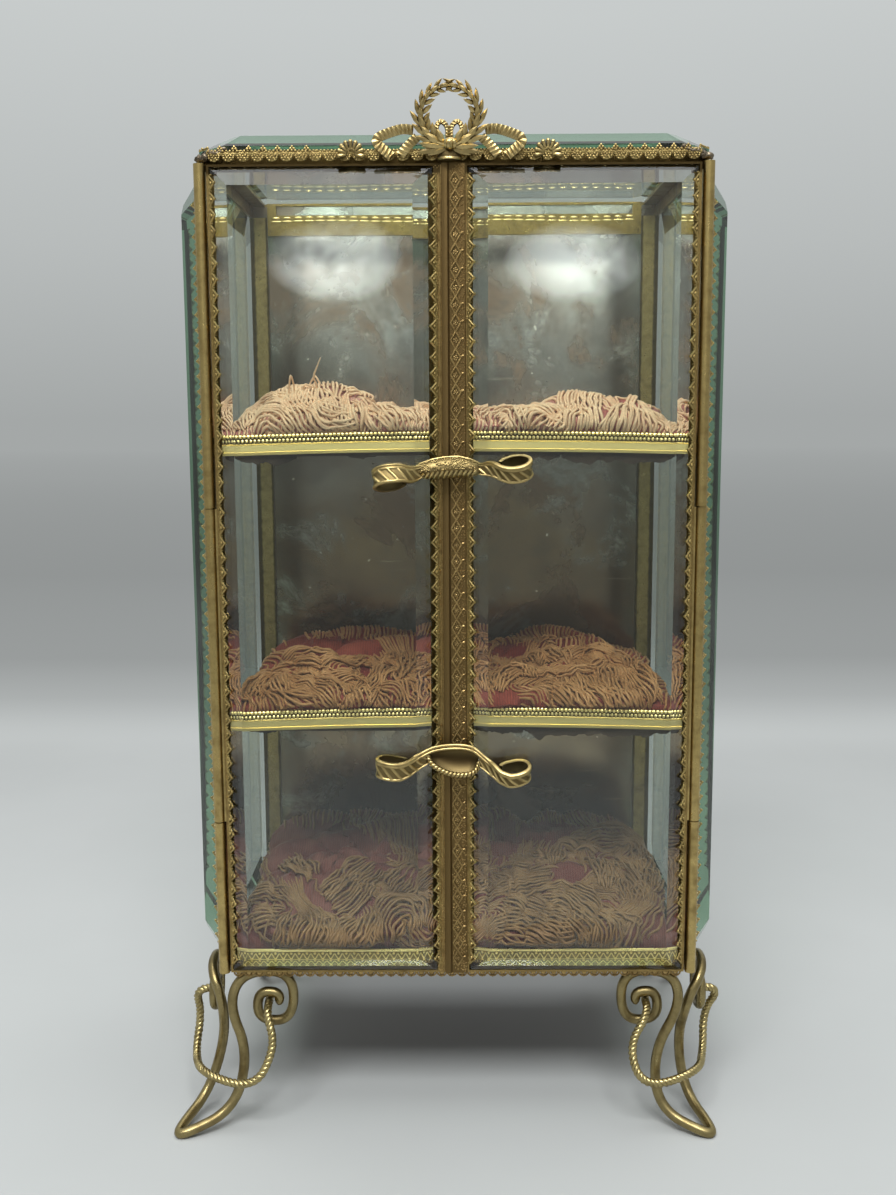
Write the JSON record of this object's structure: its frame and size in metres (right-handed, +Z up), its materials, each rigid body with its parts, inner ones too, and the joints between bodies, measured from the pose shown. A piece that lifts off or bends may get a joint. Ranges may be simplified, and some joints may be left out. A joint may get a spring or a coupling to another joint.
{
  "type": "jewelry casket",
  "caption": "Gilt-brass and bevelled-glass jewelry casket with hinged front doors, turn clasps, silk-cushioned shelves, mirror back, scrolled wire feet and a wreath crest.",
  "frame": {"origin": "on the floor plane, midway between the toes of the wire feet", "axes": "+X to the right seen from the front, +Y to the back, +Z up; the doors face -Y"},
  "size_m": [0.1684, 0.1156, 0.2991],
  "materials": {
    "gilt_brass": "aged gilding, satin, dark in the recesses",
    "pressed_brass": "browned gilding with a pressed pattern",
    "rail_brass": "bright gilding",
    "ornament_brass": "cast and chased, worn gilding",
    "wire_brass": "drawn wire, olive patina",
    "twisted_brass": "twisted wire, dark in the grooves",
    "bevelled_glass": "clear, green in the edges",
    "old_mirror": "clouded and foxed silvering",
    "backing_card": "dark backing board",
    "frayed_silk": "frayed silk threads over rose silk",
    "shelf_board": "thin board, dark edge"
  },
  "bodies": {
    "case": {"bottom_frame": "gilt_brass", "top_frame": "gilt_brass", "front_left_post": "gilt_brass", "front_right_post": "gilt_brass", "rear_left_post": "gilt_brass", "rear_right_post": "gilt_brass", "left_side_trim": "gilt_brass", "right_side_trim": "gilt_brass", "top_trim": "gilt_brass", "top_gallery": "gilt_brass", "bottom_gallery": "gilt_brass", "left_lower_knuckle": "gilt_brass", "left_upper_knuckle": "gilt_brass", "right_lower_knuckle": "gilt_brass", "right_upper_knuckle": "gilt_brass", "left_hinge_pin": "gilt_brass", "right_hinge_pin": "gilt_brass", "lower_shelf_ledges": "gilt_brass", "upper_shelf_ledges": "gilt_brass", "sill_rail": "pressed_brass", "lower_shelf_rail": "rail_brass", "upper_shelf_rail": "rail_brass", "crest_wreath": "ornament_brass", "crest_bow": "ornament_brass", "crest_left_shell": "ornament_brass", "crest_right_shell": "ornament_brass", "front_left_foot": "wire_brass", "front_right_foot": "wire_brass", "rear_left_foot": "wire_brass", "rear_right_foot": "wire_brass", "front_left_twist_ring": "twisted_brass", "front_right_twist_ring": "twisted_brass", "rear_left_twist_ring": "twisted_brass", "rear_right_twist_ring": "twisted_brass", "left_side_glass": "bevelled_glass", "right_side_glass": "bevelled_glass", "top_glass": "bevelled_glass", "back_mirror": "old_mirror", "back_board": "backing_card", "base_cushion": "frayed_silk", "lower_cushion": "frayed_silk", "upper_cushion": "frayed_silk", "base_board": "shelf_board", "lower_shelf_board": "shelf_board", "upper_shelf_board": "shelf_board"},
    "right_door": {"right_door_frame": "gilt_brass", "right_door_glass": "bevelled_glass", "right_door_trim": "gilt_brass", "right_door_knuckle": "gilt_brass", "mullion_band": "pressed_brass"},
    "left_door": {"left_door_frame": "gilt_brass", "left_door_glass": "bevelled_glass", "left_door_trim": "gilt_brass", "left_door_knuckle": "gilt_brass"},
    "upper_clasp": {"upper_clasp_bow": "ornament_brass", "upper_clasp_spindle": "ornament_brass", "upper_clasp_tongue": "ornament_brass"},
    "lower_clasp": {"lower_clasp_bow": "ornament_brass", "lower_clasp_spindle": "ornament_brass", "lower_clasp_tongue": "ornament_brass"}
  },
  "joints": [
    {"name": "right_door_hinge", "type": "hinge", "parent": "case", "child": "right_door", "pos_m": [0.069, -0.0459, 0.13905], "axis": [0, 0, 1], "range_deg": [0, 120]},
    {"name": "left_door_hinge", "type": "hinge", "parent": "case", "child": "left_door", "pos_m": [-0.069, -0.0459, 0.13905], "axis": [0, 0, -1], "range_deg": [0, 120]},
    {"name": "upper_clasp_turn", "type": "hinge", "parent": "right_door", "child": "upper_clasp", "pos_m": [-0.0008, -0.0471, 0.1954], "axis": [0, -1, 0], "range_deg": [-90, 90]},
    {"name": "lower_clasp_turn", "type": "hinge", "parent": "right_door", "child": "lower_clasp", "pos_m": [-0.0008, -0.0471, 0.1096], "axis": [0, -1, 0], "range_deg": [-90, 90]}
  ],
  "couplings": [
    {"joint": "left_door_hinge", "follows": "right_door_hinge", "ratio": 1}
  ]
}
